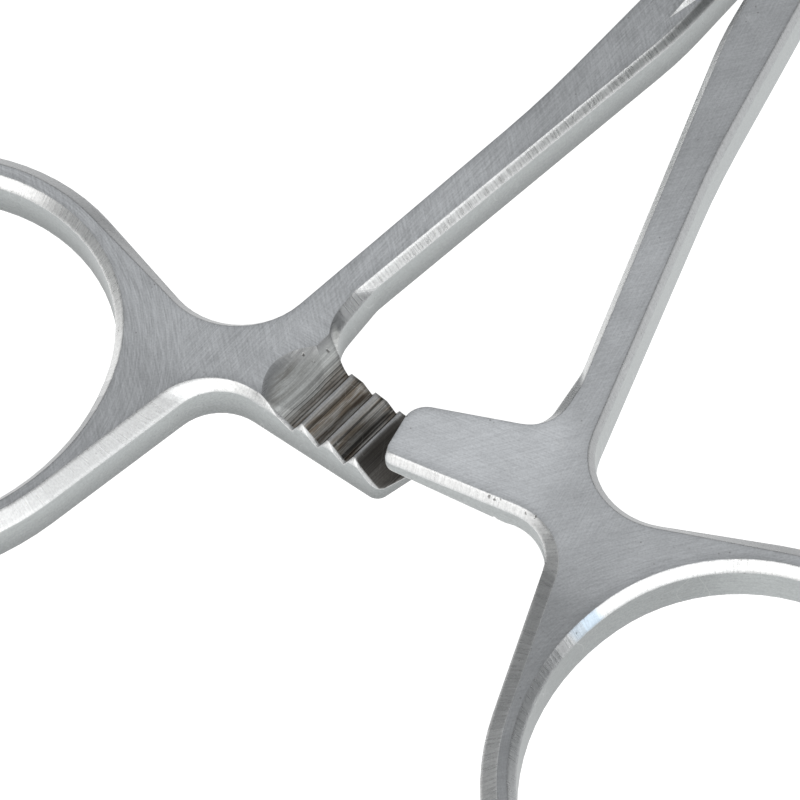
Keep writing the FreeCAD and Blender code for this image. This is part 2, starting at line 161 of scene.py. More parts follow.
# Edges lightened as rubbed wear and partly as a painted highlight where edges catch the light
EDGE_WEAR_AND_HIGHLIGHT = (0.95, 0.95, 0.94)
NICKED = (0.10, 0.095, 0.09)
# Painted bluish reflection on part of the ring's bevel
PAINTED_REFLECTION = (0.58, 0.68, 0.78)
# Near-black mixed half way into the lead-in's colour, darkening it
LEAD_IN_DARKENING = (0.05, 0.05, 0.052)


class StudioSettings(bpy.types.PropertyGroup):
    """Table, lamps and camera."""

    view_tilt: bpy.props.FloatProperty(
        name="View tilt", description="Angle of the view off the vertical",
        default=math.radians(33.53), subtype="ANGLE", unit="ROTATION")
    view_lean: bpy.props.FloatProperty(
        name="View side", description="Side of the clamp from which it is seen",
        default=math.radians(-53.71), subtype="ANGLE", unit="ROTATION")
    view_roll: bpy.props.FloatProperty(
        name="View roll", description="Turn of the picture over the clamp's own axes",
        default=math.radians(32.16), subtype="ANGLE", unit="ROTATION")
    aim: bpy.props.FloatVectorProperty(
        name="Aim", description="Middle of the picture, from the pivot and the table",
        default=(-1.322 * MM, -39.247 * MM, 3.1 * MM), subtype="XYZ", unit="LENGTH")
    distance: bpy.props.FloatProperty(
        name="Camera distance", description="From the camera to the middle of the picture",
        default=0.5123, unit="LENGTH")
    focal_pixels: bpy.props.FloatProperty(
        name="Focal length", description="Focal length in pixels of the picture",
        default=10000.0)
    table_size: bpy.props.FloatProperty(
        name="Table size", description="Side of the square table top", default=3.0, unit="LENGTH")
    table_glow: bpy.props.FloatProperty(
        name="Table brightness", description="Light that the lit table gives off", default=0.94)
    far_lamp: bpy.props.FloatProperty(
        name="Far lamp", description="Brightness of the panel beyond the clamp", default=0.42)
    near_lamp: bpy.props.FloatProperty(
        name="Near lamp", description="Brightness of the panels on the camera's side", default=1.32)
    room: bpy.props.FloatProperty(
        name="Room", description="Brightness of the room round the table", default=0.34)


class SteelSettings(bpy.types.PropertyGroup):
    """Ground steel of the two halves."""

    face_colour: bpy.props.FloatVectorProperty(
        name="Flat faces", description="Reflection colour of the ground top faces",
        default=(0.58, 0.59, 0.605), subtype="COLOR", size=3)
    bevel_colour: bpy.props.FloatVectorProperty(
        name="Bevels", description="Reflection colour of the cross-ground bevels",
        default=(0.80, 0.80, 0.795), subtype="COLOR", size=3)
    # Painted shade: colour of the bevels turned towards the shaded side, darker than the other bevels
    shaded_bevel_colour: bpy.props.FloatVectorProperty(
        name="Shaded bevels", description="Reflection colour of the bevels painted darker as shade",
        default=(0.34, 0.345, 0.35), subtype="COLOR", size=3)
    land_colour: bpy.props.FloatVectorProperty(
        name="Side walls", description="Reflection colour of the walls between the bevels",
        default=(0.325, 0.34, 0.34), subtype="COLOR", size=3)
    tooth_colour: bpy.props.FloatVectorProperty(
        name="Tooth faces", description="Reflection colour of the milled tooth faces",
        default=(0.24, 0.235, 0.225), subtype="COLOR", size=3)
    scoop_colour: bpy.props.FloatVectorProperty(
        name="Scoop", description="Reflection colour of the hollow that leads into the teeth",
        default=(0.60, 0.61, 0.60), subtype="COLOR", size=3)
    stain_colour: bpy.props.FloatVectorProperty(
        name="Stain", description="Brown film left in the teeth",
        default=(0.10, 0.075, 0.05), subtype="COLOR", size=3)
    face_roughness: bpy.props.FloatProperty(
        name="Face roughness", description="Roughness of the ground faces",
        default=0.36, min=0.0, max=1.0, subtype="FACTOR")
    bevel_roughness: bpy.props.FloatProperty(
        name="Bevel roughness", description="Roughness of the bevels",
        default=0.30, min=0.0, max=1.0, subtype="FACTOR")
    grain_width: bpy.props.FloatProperty(
        name="Grain width", description="Width of one grinding line", default=0.08 * MM,
        unit="LENGTH", precision=5)
    grain_length: bpy.props.FloatProperty(
        name="Grain length", description="Length of one grinding line", default=1.5 * MM,
        unit="LENGTH", precision=5)
    edge_round: bpy.props.FloatProperty(
        name="Edge rounding", description="Radius left on the edges by the polishing wheel",
        default=0.08 * MM, unit="LENGTH", precision=5)
    bevel_blend: bpy.props.FloatProperty(
        name="Bevel blend", description="Width over which the bevels run into the walls",
        default=0.32 * MM, unit="LENGTH", precision=5)
    edge_roll: bpy.props.FloatProperty(
        name="Edge roll", description="Width over which the flat faces roll off to their edges",
        default=1.1 * MM, unit="LENGTH", precision=5)


class Nodes:
    """Adds nodes to a tree. An input takes a socket, or else a number, colour or vector."""

    def __init__(self, tree):
        self.tree = tree

    def feed(self, socket, value):
        if isinstance(value, bpy.types.NodeSocket):
            self.tree.links.new(value, socket)
        elif value is not None:
            socket.default_value = value

    def add(self, kind, settings=None, **inputs):
        node = self.tree.nodes.new(kind)
        for name, value in (settings or {}).items():
            setattr(node, name, value)
        for name, value in inputs.items():
            self.feed(node.inputs[name.replace("_", " ")], value)
        return node

    def maths(self, operation, *values, clamp=False):
        node = self.add("ShaderNodeMath", {"operation": operation, "use_clamp": clamp})
        for socket, value in zip(node.inputs, values):
            self.feed(socket, value)
        return node.outputs[0]

    def vector(self, operation, *values):
        node = self.add("ShaderNodeVectorMath", {"operation": operation})
        for socket, value in zip(node.inputs, values):
            self.feed(socket, value)
        return node.outputs["Value" if operation in ("LENGTH", "DOT_PRODUCT") else "Vector"]

    def ramp(self, value, start, end, low=0.0, high=1.0):
        """Smooth step of value from low at start to high at end."""
        node = self.add("ShaderNodeMapRange", {"interpolation_type": "SMOOTHSTEP"}, Value=value)
        for name, number in (("From Min", start), ("From Max", end), ("To Min", low), ("To Max", high)):
            self.feed(node.inputs[name], number)
        return node.outputs[0]

    def blend(self, factor, first, second):
        """First where factor is 0 and second where it is 1, for numbers."""
        node = self.add("ShaderNodeMix", {"data_type": "FLOAT"})
        for index, value in zip((0, 2, 3), (factor, first, second)):
            self.feed(node.inputs[index], value)
        return node.outputs[0]

    def tint(self, factor, first, second, mode="MIX"):
        """Blend of two colours by factor."""
        node = self.add("ShaderNodeMix", {"data_type": "RGBA", "blend_type": mode})
        for index, value in zip((0, 6, 7), (factor, first, second)):
            if isinstance(value, tuple) and len(value) == 3:
                value = value + (1.0,)
            self.feed(node.inputs[index], value)
        return node.outputs[2]

    def gain(self, colour, factor):
        """Colour made lighter or darker by a factor."""
        return self.tint(1.0, colour, self.point(factor, factor, factor), "MULTIPLY")

    def product(self, *values):
        """All the values multiplied."""
        result = values[0]
        for value in values[1:]:
            result = self.maths("MULTIPLY", result, value)
        return result

    def inverse(self, value):
        """1 less the value."""
        return self.maths("SUBTRACT", 1.0, value)

    def noise(self, point, scale, detail=2.0, roughness=0.5):
        node = self.add("ShaderNodeTexNoise", Vector=point, Scale=scale, Detail=detail,
                        Roughness=roughness)
        return node.outputs[0]

    def turned(self, point, angle, shift=(0.0, 0.0, 0.0)):
        """The point turned about Z, then shifted."""
        return self.add("ShaderNodeMapping", {"vector_type": "POINT"}, Vector=point,
                        Rotation=(0.0, 0.0, angle), Location=shift).outputs[0]

    def parts(self, point):
        return self.add("ShaderNodeSeparateXYZ", Vector=point).outputs

    def point(self, x, y, z):
        return self.add("ShaderNodeCombineXYZ", X=x, Y=y, Z=z).outputs[0]

    def group(self, tree, **inputs):
        node = self.add("ShaderNodeGroup", {"node_tree": tree})
        for name, value in inputs.items():
            self.feed(node.inputs[name.replace("_", " ")], value)
        return node.outputs


def start_group(name, inputs, outputs):
    """New node group with named number and vector sockets, and its builder and two ends."""
    tree = bpy.data.node_groups.new(name, "ShaderNodeTree")
    for label, kind, default in inputs:
        socket = tree.interface.new_socket(name=label, in_out="INPUT", socket_type=kind)
        if default is not None:
            socket.default_value = default
    for label, kind in outputs:
        tree.interface.new_socket(name=label, in_out="OUTPUT", socket_type=kind)
    nodes = Nodes(tree)
    entry = nodes.add("NodeGroupInput").outputs
    leave = nodes.add("NodeGroupOutput").inputs
    return tree, nodes, entry, leave


def slope_group():
    """Masks of flat faces, bevels and side walls from how far a face leans off the level.

    Bevels and walls run into each other over the width Blend, as the polishing wheel left them,
    and flat faces roll off a little towards their edges. Edge is where a sharp edge is near. The
    shade mask is where a face turns towards one side of the clamp, whose bevels are painted darker as
    painted shade.
    """
    tree, n, entry, leave = start_group("Slopes and edges", [
        ("Sharp", "NodeSocketFloat", 0.0001), ("Blend", "NodeSocketFloat", 0.0003),
        ("Roll", "NodeSocketFloat", 0.001)], [
        ("Flat", "NodeSocketFloat"), ("Bevel", "NodeSocketFloat"), ("Wall", "NodeSocketFloat"),
        ("Up", "NodeSocketFloat"), ("Shaded Side", "NodeSocketFloat"), ("Edge", "NodeSocketFloat"),
        ("Normal", "NodeSocketVector")])
    geometry = n.add("ShaderNodeNewGeometry").outputs
    level = n.parts(geometry["True Normal"])["Z"]
    flat = n.ramp(n.maths("ABSOLUTE", level), 0.93, 0.985)
    sharp = n.add("ShaderNodeBevel", {"samples": 4}, Radius=entry["Sharp"]).outputs[0]
    reach = n.blend(flat, entry["Blend"], entry["Roll"])
    rolled = n.add("ShaderNodeBevel", {"samples": 6}, Radius=reach).outputs[0]
    mixed = n.add("ShaderNodeMix", {"data_type": "VECTOR"})
    for index, value in zip((0, 4, 5), (n.blend(flat, 0.85, 0.45), sharp, rolled)):
        n.feed(mixed.inputs[index], value)
    normal = n.vector("NORMALIZE", mixed.outputs[1])
    lean = n.maths("ABSOLUTE", n.parts(normal)["Z"])
    wall = n.product(n.ramp(lean, 0.50, 0.12), n.inverse(flat))
    n.feed(leave["Flat"], flat)
    n.feed(leave["Wall"], wall)
    n.feed(leave["Bevel"], n.maths("SUBTRACT", n.inverse(flat), wall, clamp=True))
    n.feed(leave["Up"], level)
    # Mask of faces turned towards the shaded side, whose bevels get painted shade
    facing = n.vector("DOT_PRODUCT", geometry["True Normal"], SHADED_SIDE)
    n.feed(leave["Shaded Side"], n.ramp(facing, -0.25, 0.0))
    n.feed(leave["Edge"], n.ramp(n.vector("DOT_PRODUCT", sharp, geometry["Normal"]), 0.999, 0.94))
    n.feed(leave["Normal"], normal)
    return tree


def region_group():
    """Masks of ring, arm and shank, and the point's place round the ring, from millimetres."""
    tree, n, entry, leave = start_group("Handle regions", [
        ("Point", "NodeSocketVector", None)], [
        ("Ring", "NodeSocketFloat"), ("Arm", "NodeSocketFloat"), ("Round Ring", "NodeSocketVector")])
    offset = n.vector("SUBTRACT", entry["Point"], RING_CENTRE)
    x, y, z = n.parts(offset)
    radius = n.maths("SQRT", n.maths("ADD", n.product(x, x), n.product(y, y)))
    angle = n.maths("ARCTAN2", y, x)
    n.feed(leave["Round Ring"], n.point(n.product(angle, 12.0), radius, z))
    ring = n.ramp(radius, RING_REACH + 1.5, RING_REACH)
    px, py, _ = n.parts(entry["Point"])
    arm = n.product(n.ramp(px, ARM_ROOT + 1.2, ARM_ROOT - 1.2), n.ramp(py, ARM_TOP + 0.8, ARM_TOP - 0.8))
    n.feed(leave["Ring"], ring)
    n.feed(leave["Arm"], arm)
    return tree


def grain_group():
    """Grinding lines: noise stretched along the shank, the arm and the ring, or across them."""
    tree, n, entry, leave = start_group("Grinding lines", [
        ("Point", "NodeSocketVector", None), ("Width", "NodeSocketFloat", 0.11),
        ("Length", "NodeSocketFloat", 2.2), ("Across", "NodeSocketFloat", 0.0)],
        [("Lines", "NodeSocketFloat")])
    fine = n.maths("DIVIDE", 1.0, entry["Width"])
    coarse = n.maths("DIVIDE", 1.0, entry["Length"])
    along = n.blend(entry["Across"], coarse, fine)
    side = n.blend(entry["Across"], fine, coarse)
    masks = n.group(shared("Handle regions"), Point=entry["Point"])
    shank = n.noise(n.vector("MULTIPLY", entry["Point"], n.point(side, along, side)), 1.0, 3.0, 0.6)
    arm = n.noise(n.vector("MULTIPLY", entry["Point"], n.point(along, side, side)), 1.0, 3.0, 0.6)
    ring = n.noise(n.vector("MULTIPLY", masks["Round Ring"], n.point(along, side, side)), 1.0, 3.0, 0.6)
    lines = n.blend(masks["Ring"], n.blend(masks["Arm"], shank, arm), ring)
    n.feed(leave["Lines"], lines)
    return tree


def scratch_group():
    """Fine stray scratches: the thin zero line of a stretched, turned noise, broken by a mask."""
    tree, n, entry, leave = start_group("Stray scratches", [
        ("Point", "NodeSocketVector", None), ("Thin", "NodeSocketFloat", 0.012)],
        [("Scratch", "NodeSocketFloat")])
    marks = []
    for turn, seed in ((0.5, 3.0), (-0.9, 11.0)):
        turned = n.turned(entry["Point"], turn, (seed, seed, 0.0))
        drawn = n.vector("MULTIPLY", turned, (1.3, 0.03, 0.4))
        line = n.maths("ABSOLUTE", n.maths("SUBTRACT", n.noise(drawn, 1.0, 0.0), 0.5))
        thin = n.maths("SUBTRACT", 1.0, n.maths("DIVIDE", line, entry["Thin"]), clamp=True)
        broken = n.ramp(n.noise(turned, 0.35, 2.0), 0.52, 0.62)
        marks.append(n.product(thin, broken))
    n.feed(leave["Scratch"], n.maths("MAXIMUM", *marks))
    return tree


def pit_group():
    """Small pits: the cores of scattered cells, kept where a slow noise is high."""
    tree, n, entry, leave = start_group("Pits", [
        ("Point", "NodeSocketVector", None), ("Spacing", "NodeSocketFloat", 0.5),
        ("Size", "NodeSocketFloat", 0.16), ("Spread", "NodeSocketFloat", 0.6)],
        [("Pit", "NodeSocketFloat")])
    cells = n.add("ShaderNodeTexVoronoi", {"feature": "F1"}, Vector=entry["Point"],
                  Scale=n.maths("DIVIDE", 1.0, entry["Spacing"]))
    core = n.ramp(cells.outputs["Distance"], entry["Size"], 0.0)
    patch = n.noise(entry["Point"], 0.3, 2.0)
    n.feed(leave["Pit"], n.product(core, n.maths("GREATER_THAN", patch, entry["Spread"])))
    return tree


EFFECTS = {
    "Slopes and edges": slope_group,
    "Handle regions": region_group,
    "Grinding lines": grain_group,
    "Stray scratches": scratch_group,
    "Pits": pit_group,
}


def shared(name):
    """Effect group by its name, built when it is first asked for."""
    return bpy.data.node_groups.get(name) or EFFECTS[name]()


def start_material(name):
    material = bpy.data.materials.new(name)
    material.use_nodes = True
    material.node_tree.nodes.clear()
    n = Nodes(material.node_tree)
    shader = n.add("ShaderNodeBsdfPrincipled")
    output = n.add("ShaderNodeOutputMaterial")
    n.feed(output.inputs["Surface"], shader.outputs[0])
    return material, n, shader.inputs


def own_point(n, side):
    """The point in millimetres from the pivot, as if the clamp were closed and this half on +X.

    The rest swing is undone by a turn about the pivot, and the mirrored half has its X reversed.
    """
    turn = Matrix.Rotation(-REST_SWING, 3, "Z")
    middle = turn @ Vector((side * PIVOT.x, PIVOT.y, 0)) / MM
    place = n.add("ShaderNodeTexCoord").outputs["Object"]
    node = n.add("ShaderNodeMapping", {"vector_type": "POINT"}, Vector=place,
                 Location=(-middle.x, -middle.y, 0.0), Rotation=(0.0, 0.0, -REST_SWING),
                 Scale=(side / MM, 1 / MM, 1 / MM))
    return node.outputs[0]


def nick_marks(n, point, places):
    """Mask of single nicks: one near the middle of each place, falling to 0 at its radius."""
    x, y, _ = n.parts(point)
    marks = 0.0
    for across, along, radius in places:
        offset = n.point(n.maths("SUBTRACT", x, across), n.maths("SUBTRACT", y, along), 0.0)
        ragged = n.product(n.maths("SUBTRACT", n.noise(point, 8.0), 0.5), 0.25)
        reach = n.maths("ADD", n.vector("LENGTH", offset), ragged)
        marks = n.maths("MAXIMUM", marks, n.ramp(reach, radius, 0.3 * radius))
    return marks


def tooth_mask(n, point, up, level, teeth_up):
    """Everything cut into the arm's face, whose height is level, between the scoop and the tip."""
    x, y, z = n.parts(point)
    way = 1.0 if teeth_up else -1.0
    run = n.product(n.ramp(x, *TEETH_ROOT_X), n.ramp(x, *TEETH_TIP_X))
    span = n.product(n.ramp(y, *TEETH_OUTER_Y), n.ramp(y, *TEETH_INNER_Y))
    facing = n.ramp(n.product(up, way), 0.2, 0.3)
    deep = n.ramp(z, *(level - depth * way for depth in TEETH_DEPTH))
    return n.product(run, span, facing, deep)


def tooth_steel(n, point, steel, milling):
    """Milled steel with lines along the crests, a brown film in the notches and a grey lead-in."""
    x, y, _ = n.parts(point)
    lead = n.ramp(x, *LEAD_IN_X)
    smear = n.product(n.ramp(x, *SMEAR_X), n.ramp(y, *SMEAR_Y, 0.0, 0.42))
    worn = n.maths("ADD", n.ramp(x, *FILM_X, 0.1, 0.8), smear)
    worn = n.product(worn, n.inverse(n.product(lead, 0.85)))
    crests = n.turned(point, -CREST_TURN)
    film = n.noise(n.vector("MULTIPLY", crests, (5.0, 0.45, 1.0)), 1.0, 3.0, 0.6)
    film = n.product(n.ramp(film, 0.35, 0.62), worn)
    milled = n.tint(n.ramp(x, *MILLED_X), tuple(steel.scoop_colour), tuple(steel.tooth_colour))
    milled = n.tint(n.product(lead, 0.5), milled, LEAD_IN_DARKENING)
    stained = n.tint(film, milled, tuple(steel.stain_colour))
    depth = n.blend(lead, n.ramp(x, *LINED_X, 0.14, 0.65), 0.3)
    lines = n.product(n.ramp(milling, 0.30, 0.70, -1.0, 1.0), depth)
    return n.gain(stained, n.maths("ADD", 1.0, lines))


def ground_steel(n, point, steel, slope, level, finish):
    """Flat faces, bevels and walls, each with its own colour, with painted light and shade: slow lighter
    and darker patches on the flat faces, darker bevels on the shaded side, a painted bluish reflection
    on one ring, and walls darker towards their foot.
    """
    x, y, z = n.parts(point)
    cloud = n.noise(point, 0.35, 3.0, 0.55)
    clouded = tuple(0.92 * part for part in steel.face_colour)
    face = n.tint(n.ramp(cloud, 0.3, 0.7), clouded, tuple(steel.face_colour))
    # Painted light and shade: placed patches of the flat faces made lighter or darker
    for start, end, low_x, high_x, gain in finish["painted_shading"]:
        patch = n.product(n.ramp(y, start, end), n.ramp(x, low_x, high_x))
        face = n.gain(face, n.blend(patch, 1.0, gain))

    ring = n.product(n.ramp(x, *RING_X), n.ramp(y, *RING_Y))
    # Painted bluish reflection in a band of the box half's ring bevel
    reflection_band = n.product(n.ramp(y, *PAINTED_REFLECTION_TOP_Y), n.ramp(y, *PAINTED_REFLECTION_FOOT_Y))
    reflection_band = n.product(ring, reflection_band, finish["ring_painted_reflection"])
    polished_with_reflection = n.tint(reflection_band, tuple(steel.bevel_colour), PAINTED_REFLECTION)
    # Painted shade: bevels turned towards the shaded side take the darker colour, lifted by a gain on
    # the ring
    painted_shade_bevel = n.gain(tuple(steel.shaded_bevel_colour), n.blend(ring, 1.0, finish["ring_shaded_bevel_gain"]))
    bevel = n.tint(slope["Shaded Side"], polished_with_reflection, painted_shade_bevel)
    # Bevels darker towards the ring and lighter towards the pivot
    bevel = n.gain(bevel, n.ramp(y, *BEVEL_GAIN_Y, 0.94, 1.12))

    # Painted shade: walls darker towards their foot and lighter towards their top; the ring's walls take
    # a further gain
    foot = n.ramp(z, *(level + rise for rise in WALL_SHADE_RISE), 0.72, 1.18)
    wall = n.gain(tuple(steel.land_colour), n.product(foot, n.blend(ring, 1.0, finish["ring_wall"])))
    return n.tint(slope["Wall"], n.tint(slope["Bevel"], face, bevel), wall)


def half_steel(name, side, level, finish):
    """Ground steel of one half, whose toothed face is at the height level.

    Flat faces have grinding lines along the metal and paler stray scratches, bevels have lines
    across, and walls are duller. Tooth faces have milling lines along the crests and a brown film.
    """
    steel = bpy.context.scene.clamp_steel
    material, n, out = start_material(name)
    point = own_point(n, side)
    x = n.parts(point)["X"]
    slope = n.group(shared("Slopes and edges"), Sharp=steel.edge_round, Blend=steel.bevel_blend,
                    Roll=steel.edge_roll)
    lines = shared("Grinding lines")
    width, length = steel.grain_width / MM, steel.grain_length / MM
    along = n.group(lines, Point=point, Width=width, Length=length, Across=0.0)["Lines"]
    across = n.group(lines, Point=point, Width=width * 1.3, Length=length, Across=1.0)["Lines"]
    cross = n.noise(n.vector("MULTIPLY", n.turned(point, 0.85), (9.0, 0.7, 9.0)), 1.0, 2.0, 0.6)
    scratch = n.group(shared("Stray scratches"), Point=point, Thin=0.006)["Scratch"]
    pits = n.group(shared("Pits"), Point=point, Spacing=0.45, Size=0.17, Spread=0.60)["Pit"]
    nick = nick_marks(n, point, finish["nicks"])
    teeth = tooth_mask(n, point, slope["Up"], level, finish["teeth_up"])
    milling = n.vector("MULTIPLY", n.turned(point, -CREST_TURN), (12.0, 0.06, 0.05))
    milling = n.noise(milling, 1.0, 3.0, 0.65)
    grain = n.blend(slope["Bevel"], n.blend(0.45, along, cross), across)
    grain = n.blend(teeth, grain, n.blend(n.ramp(x, *LINED_X), 0.5, milling))

    base = ground_steel(n, point, steel, slope, level, finish)
    base = n.tint(teeth, base, tooth_steel(n, point, steel, milling))
    swing = n.blend(slope["Flat"], n.blend(slope["Shaded Side"], 0.13, 0.08), finish["contrast"])
    streak = n.product(n.ramp(grain, 0.25, 0.75, -1.0, 1.0), swing)
    mottle = n.product(n.maths("SUBTRACT", n.noise(point, 9.0, 2.0, 0.6), 0.5), 0.45)
    base = n.gain(base, n.maths("ADD", n.maths("ADD", streak, 0.99), mottle))
    # Sharp edges lightened as rubbed wear and partly as painted highlight, except on the shaded side
    base = n.tint(n.product(slope["Edge"], 0.35, n.inverse(slope["Shaded Side"])), base, EDGE_WEAR_AND_HIGHLIGHT)
    base = n.tint(n.product(scratch, 0.18), base, SCRATCHED)
    base = n.tint(n.product(pits, 0.6), base, PITTED)
    base = n.tint(n.product(nick, 0.75), base, NICKED)
    n.feed(out["Base Color"], base)

    rough = n.blend(slope["Bevel"], steel.face_roughness, steel.bevel_roughness)
    rough = n.blend(slope["Wall"], rough, 0.42)
    rough = n.blend(teeth, rough, 0.38)
    rough = n.maths("ADD", rough, n.product(n.maths("SUBTRACT", grain, 0.5), 0.25))
    n.feed(out["Roughness"], rough)
    out["Metallic"].default_value = 1.0

    height = n.maths("SUBTRACT", grain, n.product(scratch, 0.3))
    height = n.maths("SUBTRACT", height, n.product(n.maths("MAXIMUM", pits, nick), 1.5))
    bump = n.add("ShaderNodeBump", Strength=0.5, Distance=0.012 * MM, Height=height,
                 Normal=slope["Normal"])
    n.feed(out["Normal"], bump.outputs[0])
    return material


def pin_steel():
    """Steel of the pin: ends ground flush, with rings of turning round its axis."""
    steel = bpy.context.scene.clamp_steel
    material, n, out = start_material("pin_turned_steel")
    point = own_point(n, 1.0)
    x, y, z = n.parts(point)
    radius = n.maths("SQRT", n.maths("ADD", n.product(x, x), n.product(y, y)))
    rings = n.noise(n.point(n.product(radius, 9.0), n.product(z, 2.0), 0.0), 1.0, 3.0)
    scratch = n.group(shared("Stray scratches"), Point=point, Thin=0.02)["Scratch"]
    dark = tuple(0.8 * part for part in steel.face_colour)
    base = n.tint(n.ramp(rings, 0.3, 0.7), dark, tuple(steel.bevel_colour))
    base = n.tint(n.product(scratch, 0.4), base, SCRATCHED)
    n.feed(out["Base Color"], base)
    n.feed(out["Roughness"], n.ramp(rings, 0.2, 0.8, 0.28, 0.44))
    out["Metallic"].default_value = 1.0
    bump = n.add("ShaderNodeBump", Strength=0.4, Distance=0.01 * MM, Height=rings)
    n.feed(out["Normal"], bump.outputs[0])
    return material


def corner_foot(turn, radius):
    """Place and outward direction on the corner's round wall, from how far round it is."""
    normal = (math.sin(turn), math.cos(turn))
    return tuple(centre + radius * part for centre, part in zip(CORNER_CENTRE, normal)), normal


def placed_tool(name, mesh):
    """Object from a mesh in the box half's own millimetres, put where that half is at rest."""
    bmesh.ops.recalc_face_normals(mesh, faces=mesh.faces)
    swung = Matrix.Rotation(REST_SWING, 4, "Z") @ Matrix.Scale(MM, 4)
    bmesh.ops.transform(mesh, matrix=Matrix.Translation(PIVOT.xy.to_3d()) @ swung, verts=mesh.verts)
    data = bpy.data.meshes.new(name)
    mesh.to_mesh(data)
    mesh.free()
    tool = bpy.data.objects.new(name, data)
    bpy.context.scene.collection.objects.link(tool)
    return tool


def corner_block():
    """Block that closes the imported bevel's abrupt end, just inside the outline."""
    radius = CORNER_RADIUS + FILL_INSET
    first, last = (math.asin((x - CORNER_CENTRE[0]) / radius) for x in FILL_SPAN)
    turns = [first + (last - first) * step / CORNER_STEPS for step in range(CORNER_STEPS + 1)]
    points = [corner_foot(turn, radius)[0] for turn in turns]
    points += [(FILL_SPAN[1], FILL_BACK), (FILL_SPAN[0], FILL_BACK)]
    mesh = bmesh.new()
    low, high = ([mesh.verts.new((x, y, z)) for x, y in points] for z in FILL_LEVELS)
    mesh.faces.new(low)
    mesh.faces.new(high)
    for k in range(len(points)):
        mesh.faces.new((low[k - 1], low[k], high[k], high[k - 1]))
    return placed_tool("corner_block", mesh)


def run_out_cutter():
    """Cutter that carries the bevel under the upper arm on round the corner, and out along the leg.

    Each section is a triangle: the bevel at 45 degrees, from outside the wall to below the foot.
    """
    start, around, end = FOOT_SHARES
    level = CORNER_CENTRE[1] + CORNER_RADIUS
    stations = [((CORNER_CENTRE[0] - LEAD_IN, level), (0.0, 1.0), start)]
    for step in range(CORNER_STEPS + 1):
        share = step / CORNER_STEPS
        stations.append((*corner_foot(share * CORNER_SWEEP, CORNER_RADIUS), around * share ** 2))
    (x, y), (across, down), _ = stations[-1]
    for step in range(1, RUN_OUT_STEPS + 1):
        share = step / RUN_OUT_STEPS
        foot = (x + down * RUN_OUT * share, y - across * RUN_OUT * share)
        stations.append((foot, (across, down), around + (end - around) * share))
    mesh = bmesh.new()
    sections = []
    low = PLATE_FOOT - CUT_SPARE
    for (x, y), (across, down), share in stations:
        high = WALL_FOOT_HIGH + share * (WALL_FOOT_LOW - WALL_FOOT_HIGH)
        section = ((-CUT_SPARE, high + CUT_SPARE), (high - low, low), (-CUT_SPARE, low))
        sections.append([mesh.verts.new((x + across * d, y + down * d, z)) for d, z in section])
    for before, after in zip(sections, sections[1:]):
        for k in range(3):
            mesh.faces.new((before[k], before[k - 2], after[k - 2], after[k]))
    mesh.faces.new(sections[0])
    mesh.faces.new(sections[-1])
    return placed_tool("run_out_cutter", mesh)


def eased_half(node):
    """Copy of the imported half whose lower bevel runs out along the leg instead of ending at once."""
    mesh = bmesh.new()
    mesh.from_mesh(bpy.data.objects[node].data)
    bmesh.ops.remove_doubles(mesh, verts=mesh.verts, dist=MERGE_DISTANCE)
    merged = bpy.data.meshes.new(node + "_eased")
    mesh.to_mesh(merged)
    mesh.free()
    if "custom_normal" in merged.attributes:
        merged.attributes.remove(merged.attributes["custom_normal"])
    piece = bpy.data.objects.new(node + "_eased", merged)
    bpy.context.scene.collection.objects.link(piece)
    tools = ((corner_block(), "UNION"), (run_out_cutter(), "DIFFERENCE"))
    for tool, operation in tools:
        step = piece.modifiers.new(tool.name, "BOOLEAN")
        step.operation = operation
        step.solver = "EXACT"
        step.object = tool
    graph = bpy.context.evaluated_depsgraph_get()
    result = bpy.data.meshes.new_from_object(piece.evaluated_get(graph))
    piece.modifiers.clear()
    piece.data = result
    for tool, _ in tools:
        bpy.data.objects.remove(tool)
    result.shade_smooth()
    result.set_sharp_from_angle(angle=SHARP_ANGLE)
    return piece


def dress(node, material):
    """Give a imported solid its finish, in each of its material slots."""
    for slot in bpy.data.objects[node].material_slots:
        slot.material = material


class CLAMP_OT_box_half(bpy.types.Operator):
    """Finish the half that has the slotted box, whose teeth face the table"""

    bl_idname = "clamp.box_half"
    bl_label = "Box half"

    def execute(self, context):
        steel = half_steel("box_half_ground_steel", 1.0, PLATE_FOOT, BOX_FINISH)
        piece = eased_half("box_half")
        piece.data.materials.clear()
        piece.data.materials.append(steel)
        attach(piece, "box_side")
        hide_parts("box_half")
        return {"FINISHED"}


class CLAMP_OT_tongue_half(bpy.types.Operator):
    """Finish the half that has the tongue, whose teeth face up"""

    bl_idname = "clamp.tongue_half"
    bl_label = "Tongue half"

    def execute(self, context):
        steel = half_steel("tongue_half_ground_steel", -1.0, LEVEL_LOWER, TONGUE_FINISH)
        dress("tongue_half", steel)
        return {"FINISHED"}


class CLAMP_OT_pin(bpy.types.Operator):
    """Finish the pin that joins the halves"""

    bl_idname = "clamp.pin"
    bl_label = "Pivot pin"

    def execute(self, context):
        dress("pivot_pin", pin_steel())
        return {"FINISHED"}


def view_axes(studio):
    """Right, up and back of the camera: the level axes turned by the tilt towards its side."""
    right = Vector((math.cos(studio.view_roll), math.sin(studio.view_roll), 0))
    side = Vector((math.cos(studio.view_lean), math.sin(studio.view_lean), 0))
    tilt = Matrix.Rotation(studio.view_tilt, 3, Vector((0, 0, 1)).cross(side))
    return tilt @ right, tilt @ Vector((0, 0, 1)).cross(right), tilt @ Vector((0, 0, 1))


